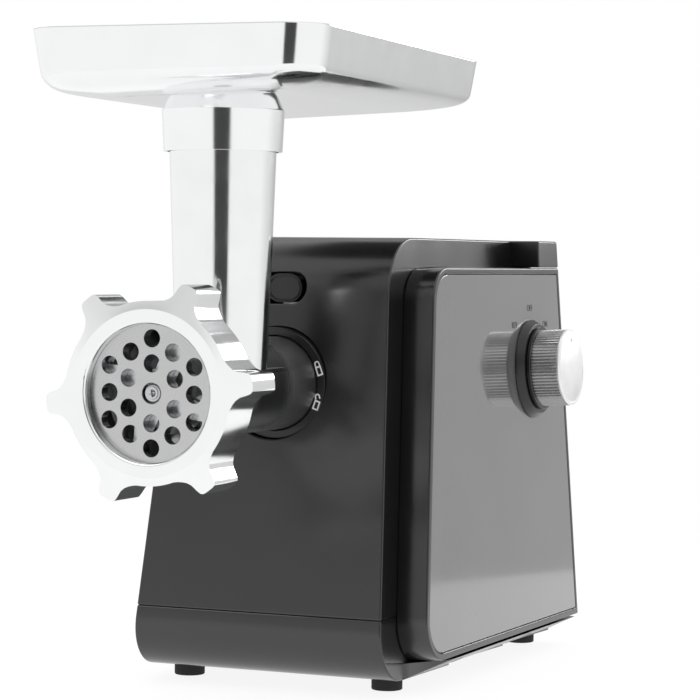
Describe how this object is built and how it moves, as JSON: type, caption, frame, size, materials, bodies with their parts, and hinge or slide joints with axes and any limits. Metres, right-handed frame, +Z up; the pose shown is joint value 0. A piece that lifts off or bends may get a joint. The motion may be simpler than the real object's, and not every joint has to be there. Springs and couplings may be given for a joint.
{
  "type": "electric meat grinder",
  "caption": "Countertop electric meat grinder: dark housing with motor and gear train, polished grinding head, hopper tray, rotary switch and head release button.",
  "frame": {"origin": "middle of the bounding box at table height, under the four rubber feet", "axes": "+Z up; -Y out of the grinding head's outlet, along the drive axis; +X towards the side with the rotary knob"},
  "size_m": [0.161, 0.3108, 0.2753],
  "materials": {
    "black_shell": "fine satin texture",
    "black_trim": "semi-gloss",
    "grey_panel": "high gloss",
    "grey_moulding": "satin",
    "soft_rubber": "matt",
    "zinc_steel": "zinc plated",
    "turned_steel": "turned",
    "plate_steel": "ground flat",
    "knurled_metal": "brushed face, knurled rim",
    "polished_aluminium": "polished",
    "cast_aluminium": "satin cast",
    "sintered_bronze": "satin",
    "enamelled_copper": "enamelled",
    "lamination": "stacked sheet",
    "carbon": "matt",
    "white_polymer": "satin"
  },
  "bodies": {
    "body": {"main_housing": "black_shell", "base_pan": "black_shell", "rear_cover": "black_shell", "left_side_cover": "black_shell", "right_side_cover": "black_shell", "left_side_panel": "grey_panel", "right_side_panel": "grey_panel", "hub_collar": "black_trim", "knob_bezel": "black_trim", "switch_body": "black_trim", "cord_gland": "soft_rubber", "rubber_feet": "soft_rubber", "foot_screws": "zinc_steel", "base_screws": "zinc_steel", "rear_cover_screws": "zinc_steel", "button_guide": "black_trim", "gearbox_housing": "grey_moulding", "gearbox_cover": "grey_moulding", "gearbox_screws": "zinc_steel", "output_bush": "sintered_bronze", "middle_axle": "turned_steel", "first_axle": "turned_steel", "stator_core": "lamination", "field_coils": "enamelled_copper", "motor_end_bracket": "grey_moulding", "motor_screws": "zinc_steel", "brush_holders": "black_trim", "carbon_brushes": "carbon", "front_bearing": "turned_steel", "rear_bearing": "turned_steel", "motor_saddle": "soft_rubber"},
    "drive": {"output_shaft": "turned_steel", "output_wheel": "turned_steel", "auger": "cast_aluminium", "auger_pin": "turned_steel", "knife": "turned_steel"},
    "middle_gear": {"middle_gear": "turned_steel"},
    "first_gear": {"first_gear": "turned_steel"},
    "rotor": {"motor_shaft": "turned_steel", "armature_core": "lamination", "armature_winding": "enamelled_copper", "commutator": "enamelled_copper", "cooling_fan": "black_trim"},
    "head": {"head_casting": "polished_aluminium", "auger_bush": "white_polymer", "grinding_plate": "plate_steel"},
    "ring": {"ring_nut": "polished_aluminium"},
    "tray": {"hopper_tray": "polished_aluminium"},
    "button": {"release_button": "black_trim", "latch_arm": "zinc_steel", "button_spring": "zinc_steel"},
    "knob": {"knob_flange": "black_trim", "knob_barrel": "knurled_metal", "knob_cap": "knurled_metal", "switch_rotor": "turned_steel"}
  },
  "joints": [
    {"name": "drive_spin", "type": "hinge", "parent": "body", "child": "drive", "pos_m": [-0.0063, -0.01832, 0.131], "axis": [0, 1, 0], "continuous": true},
    {"name": "middle_gear_spin", "type": "hinge", "parent": "body", "child": "middle_gear", "pos_m": [-0.02033, -0.00832, 0.08956], "axis": [0, 1, 0], "continuous": true},
    {"name": "first_gear_spin", "type": "hinge", "parent": "body", "child": "first_gear", "pos_m": [0.01213, 0.00168, 0.07645], "axis": [0, 1, 0], "continuous": true},
    {"name": "motor_spin", "type": "hinge", "parent": "body", "child": "rotor", "pos_m": [-0.0063, 0.06168, 0.05536], "axis": [0, 1, 0], "continuous": true},
    {"name": "head_turn", "type": "hinge", "parent": "body", "child": "head", "pos_m": [-0.0063, -0.03332, 0.131], "axis": [0, 1, 0], "range_deg": [0, 39]},
    {"name": "ring_unscrew", "type": "hinge", "parent": "head", "child": "ring", "pos_m": [-0.0063, -0.14432, 0.131], "axis": [0, -1, 0], "range_deg": [0, 90]},
    {"name": "tray_lift", "type": "slide", "parent": "head", "child": "tray", "axis": [0, 0, 1], "range_m": [0, 0.016]},
    {"name": "button_push", "type": "slide", "parent": "body", "child": "button", "axis": [0, 1, 0], "range_m": [0, 0.004], "stiffness_N_per_m": 400, "springref_m": -0.002, "deforming": ["button_spring"]},
    {"name": "knob_turn", "type": "hinge", "parent": "body", "child": "knob", "pos_m": [0.06002, 0.10368, 0.1343], "axis": [0.9985, 0, 0.0541], "range_deg": [-45, 45]}
  ],
  "couplings": [
    {"joint": "middle_gear_spin", "follows": "drive_spin", "ratio": -4},
    {"joint": "first_gear_spin", "follows": "drive_spin", "ratio": 16},
    {"joint": "motor_spin", "follows": "drive_spin", "ratio": -64}
  ]
}
